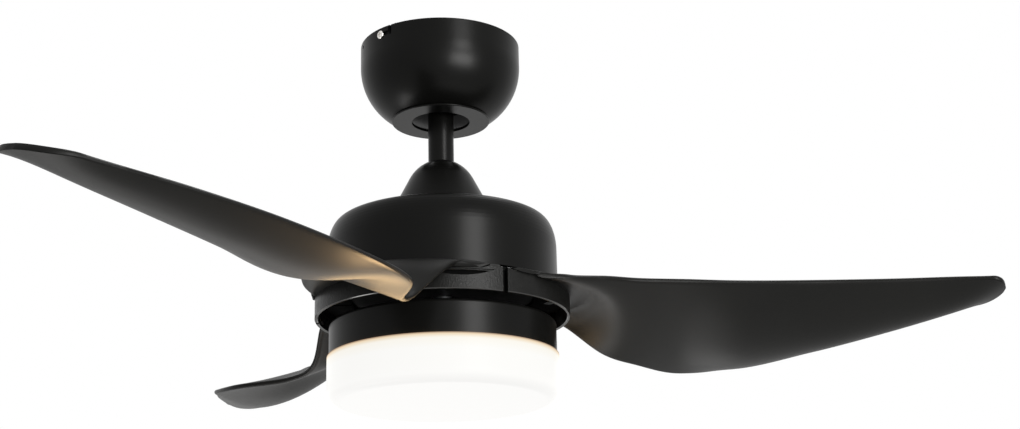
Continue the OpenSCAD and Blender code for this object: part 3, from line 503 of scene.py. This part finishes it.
def pan_head_screw(name, shank_r, head_r, head_h, length):
    """One screw along +Z with its seat at z = 0: domed head, cross recess and a threaded shank."""
    mesh = bmesh.new()
    rim, root, point = 0.35, 0.86, 0.7
    around, dome_steps = 28, 10
    dome = [(head_r * math.sin(a), head_h * (rim + (1 - rim) * math.cos(a)))
            for a in (math.pi / 2 * i / dome_steps for i in range(dome_steps + 1))]
    outline = dome + [(head_r, 0.0), (shank_r, 0.0)]
    pitch = shank_r * 0.45
    for i in range(max(int(length / pitch), 1)):
        outline += [(shank_r * root, -(i + 0.5) * pitch), (shank_r, -(i + 0.9) * pitch)]
    outline += [(shank_r * point, -length), (0.0, -length)]
    rings = []
    for r, z in outline:
        if r < 1e-6:
            rings.append([mesh.verts.new((0, 0, z))])
        else:
            rings.append([mesh.verts.new((r * math.cos(2 * math.pi * k / around),
                                          r * math.sin(2 * math.pi * k / around), z))
                          for k in range(around)])
    for low, high in zip(rings, rings[1:]):
        for k in range(around):
            j = (k + 1) % around
            corners = [low[k % len(low)], low[j % len(low)],
                       high[j % len(high)], high[k % len(high)]]
            mesh.faces.new([v for i, v in enumerate(corners) if v not in corners[:i]])
    bmesh.ops.recalc_face_normals(mesh, faces=mesh.faces)
    data = bpy.data.meshes.new(name)
    mesh.to_mesh(data)
    mesh.free()
    screw = bpy.data.objects.new(name, data)
    bpy.context.scene.collection.objects.link(screw)
    cutter_mesh = bmesh.new()
    slot_size = Matrix.Diagonal((head_r * 1.15, head_r * 0.26, head_h * 0.9, 1))
    for turn in (0, math.pi / 2):
        made = bmesh.ops.create_cube(cutter_mesh, size=1)
        place = Matrix.Translation((0, 0, head_h * 0.86)) @ Matrix.Rotation(turn, 4, "Z")
        bmesh.ops.transform(cutter_mesh, matrix=place @ slot_size, verts=made["verts"])
    cutter_data = bpy.data.meshes.new("recess")
    cutter_mesh.to_mesh(cutter_data)
    cutter_mesh.free()
    cutter = bpy.data.objects.new("recess", cutter_data)
    bpy.context.scene.collection.objects.link(cutter)
    cut = screw.modifiers.new("recess", "BOOLEAN")
    cut.object = cutter
    cut.use_self = True
    screw.data = bpy.data.meshes.new_from_object(
        screw.evaluated_get(bpy.context.evaluated_depsgraph_get()))
    screw.modifiers.clear()
    screw.data.materials.clear()
    bpy.data.objects.remove(cutter)
    return screw


def ring_tree():
    """Stands copies of a part in a ring round Z, leans each one and makes them one mesh."""
    tree = bpy.data.node_groups.new("ring_of_parts", "GeometryNodeTree")
    tree.interface.new_socket("Geometry", in_out="OUTPUT", socket_type="NodeSocketGeometry")
    for label, kind in (("Part", "NodeSocketObject"), ("Count", "NodeSocketInt"),
                        ("Radius", "NodeSocketFloat"), ("Height", "NodeSocketFloat"),
                        ("Start", "NodeSocketFloat"), ("Lean", "NodeSocketFloat"),
                        ("Finish", "NodeSocketMaterial")):
        tree.interface.new_socket(label, in_out="INPUT", socket_type=kind)
    nodes, links = tree.nodes, tree.links
    given, out = nodes.new("NodeGroupInput"), nodes.new("NodeGroupOutput")
    points = nodes.new("GeometryNodePoints")
    across, along = nodes.new("ShaderNodeMath"), nodes.new("ShaderNodeMath")
    cosine, sine = nodes.new("ShaderNodeMath"), nodes.new("ShaderNodeMath")
    cosine.operation, sine.operation = "COSINE", "SINE"
    across.operation = along.operation = "MULTIPLY"
    stand = nodes.new("ShaderNodeCombineXYZ")
    index = nodes.new("GeometryNodeInputIndex")
    part_of_turn, angle = nodes.new("ShaderNodeMath"), nodes.new("ShaderNodeMath")
    part_of_turn.operation, angle.operation = "DIVIDE", "MULTIPLY_ADD"
    part_of_turn.inputs[0].default_value = 2 * math.pi
    face = nodes.new("ShaderNodeCombineXYZ")
    part = nodes.new("GeometryNodeObjectInfo")
    copies = nodes.new("GeometryNodeInstanceOnPoints")
    real = nodes.new("GeometryNodeRealizeInstances")
    paint = nodes.new("GeometryNodeSetMaterial")
    links.new(given.outputs["Count"], part_of_turn.inputs[1])
    links.new(index.outputs[0], angle.inputs[0])
    links.new(part_of_turn.outputs[0], angle.inputs[1])
    links.new(given.outputs["Start"], angle.inputs[2])
    for turn, share, end in ((cosine, across, "X"), (sine, along, "Y")):
        links.new(angle.outputs[0], turn.inputs[0])
        links.new(turn.outputs[0], share.inputs[0])
        links.new(given.outputs["Radius"], share.inputs[1])
        links.new(share.outputs[0], stand.inputs[end])
    links.new(given.outputs["Height"], stand.inputs["Z"])
    links.new(given.outputs["Count"], points.inputs["Count"])
    links.new(stand.outputs[0], points.inputs["Position"])
    links.new(given.outputs["Lean"], face.inputs["Y"])
    links.new(angle.outputs[0], face.inputs["Z"])
    links.new(given.outputs["Part"], part.inputs["Object"])
    links.new(points.outputs[0], copies.inputs["Points"])
    links.new(part.outputs["Geometry"], copies.inputs["Instance"])
    links.new(face.outputs[0], copies.inputs["Rotation"])
    links.new(copies.outputs["Instances"], real.inputs["Geometry"])
    links.new(real.outputs["Geometry"], paint.inputs["Geometry"])
    links.new(given.outputs["Finish"], paint.inputs["Material"])
    links.new(paint.outputs["Geometry"], out.inputs["Geometry"])
    return tree


def grown(name, tree, body, **inputs):
    """Runs a node tree once and keeps its result as a plain mesh that rides on a body."""
    piece = bpy.data.objects.new(name, bpy.data.meshes.new(name + "_seed"))
    bpy.context.scene.collection.objects.link(piece)
    step = piece.modifiers.new("grow", "NODES")
    step.node_group = tree
    for item in tree.interface.items_tree:
        if item.in_out == "INPUT" and item.name in inputs:
            step[item.identifier] = inputs[item.name]
    plain = bpy.data.meshes.new_from_object(
        piece.evaluated_get(bpy.context.evaluated_depsgraph_get()))
    piece.modifiers.clear()
    piece.data = plain
    piece.data.set_sharp_from_angle(angle=math.radians(30))
    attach(piece, body)
    return piece


nickel = grained("nickel_plate", (0.62, 0.6, 0.57), (0.74, 0.72, 0.69), 1.0,
                 Scale=400, Depth=0.03, Roughness=0.18, Spread=0.05, Cloud=60)
phosphate = grained("dark_steel", (0.01, 0.01, 0.011), (0.03, 0.03, 0.031), 0.8,
                    shine=0.2, Scale=500, Depth=0.1, Roughness=0.45, Spread=0.1, Cloud=30)
in_a_ring = ring_tree()
up, level, down = 0.0, math.pi / 2, math.pi


def screw_ring(nodes_held, body, slot, finish, shank_r, head_r, head_h, length, **ring):
    """A ring of pan-head screws that stands for a CAD node."""
    screw = pan_head_screw("one_screw", shank_r, head_r, head_h, length)
    piece = grown(nodes_held + "_pan_head", in_a_ring, body, Part=screw, Finish=finish, **ring)
    bpy.data.objects.remove(screw)
    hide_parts(nodes_held)


bracket_turn = math.radians(46)
canopy_outside, canopy_screw_height = 0.0789, -0.008
yoke_flange_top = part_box("motor_housing")[1].z + 0.006
head = 0.002
screw_ring("canopy_screws", "ceiling", "bright_steel", nickel, 0.0019, 0.004, 0.0018, 0.0078,
           Count=2, Radius=canopy_outside, Height=canopy_screw_height, Start=bracket_turn,
           Lean=level)
screw_ring("housing_screws", "hanging", "zinc_steel", zinc, 0.0025, 0.0042, 0.0026, 0.0085,
           Count=4, Radius=0.033, Height=yoke_flange_top, Start=math.radians(45), Lean=up)
screw_ring("shell_screws", "rotor", "zinc_steel", zinc, 0.0019, 0.0035, head, 0.008,
           Count=6, Radius=0.0838, Height=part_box("shell_screws")[1].z - head, Start=0.0, Lean=up)
screw_ring("pan_screws", "hanging", "zinc_steel", zinc, 0.0015, 0.003, head, 0.0045,
           Count=3, Radius=0.03, Height=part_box("pan_screws")[0].z + head, Start=0.0, Lean=down)
screw_ring("board_screws", "hanging", "zinc_steel", zinc, 0.0015, 0.003, head, 0.0076,
           Count=3, Radius=0.082, Height=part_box("board_screws")[0].z + head,
           Start=math.radians(30), Lean=down)
finish_with(black_steel, "blade_screws")


# ---------------------------------------------------------------- yoke, shaft and motor
# The yoke is cast iron, blacked. It holds the rod by a steel pin with a clip, and the hollow shaft.
# On the shaft sit a laminated stator with copper coils and, on two ball bearings, the rotor: two
# cast shells round a ring of ferrite magnets. The shells are near black and almost without gloss,
# partly as their colour and partly as painted shade in the gap between the blade ring and the pan.

# Painted shade in part: the shells' near-black, glossless finish stands in for the shade in the
# gap.
castings_with_painted_shade = grained("blacked_casting_with_painted_shade", (0.001, 0.001, 0.001), (0.003, 0.003, 0.003), 0.0,
                   shine=0.02, Scale=500, Depth=0.35, Roughness=0.6, Spread=0.1, Cloud=25)
laminations = grained("lamination_steel", (0.22, 0.23, 0.25), (0.32, 0.33, 0.35), 0.9,
                      Scale=900, Depth=0.1, Roughness=0.5, Spread=0.08, Cloud=30)
ferrite = grained("ferrite", (0.05, 0.05, 0.055), (0.09, 0.09, 0.095), 0.0,
                  Scale=900, Depth=0.2, Roughness=0.7, Spread=0.08, Cloud=30)
copper = grained("copper_wire", (0.42, 0.16, 0.06), (0.62, 0.27, 0.1), 0.9,
                 Scale=300, Depth=0.3, Roughness=0.35, Spread=0.1, Cloud=50)
finish_with(phosphate, "motor_yoke", "yoke_set_screws", "shaft_circlip")
finish_with(zinc, "yoke_pin", "motor_shaft")
finish_with(nickel, "cotter_clip", "upper_bearing", "lower_bearing")
finish_with(laminations, "stator_core")
finish_with(copper, "stator_windings")
finish_with(castings_with_painted_shade, "rotor_upper_shell", "rotor_lower_shell")
finish_with(ferrite, "rotor_magnets")


# ---------------------------------------------------------------- light board and its fixings
# A white board with rings of light chips is screwed to three posts under the driver, in the pan.
# The pan is screwed to a zinc-plated plate on the hollow shaft, with a nut under it, and the bowl
# turns into plated catches.

green_paint = grained("green_screw", (0.06, 0.32, 0.12), (0.09, 0.4, 0.16), 0.6,
                      Scale=500, Depth=0.05, Roughness=0.35, Spread=0.06, Cloud=40)
phosphor = grained("light_chip", (0.86, 0.7, 0.28), (0.95, 0.82, 0.4), 0.0,
                   Scale=900, Depth=0.05, Roughness=0.3, Spread=0.05, Cloud=80)
finish_with(zinc, "light_plate", "shaft_nut", "diffuser_catches")
finish_with(white_plastic, "led_driver", "led_board")
finish_with(green_paint, "earth_screw")
finish_with(phosphor, "led_chips")
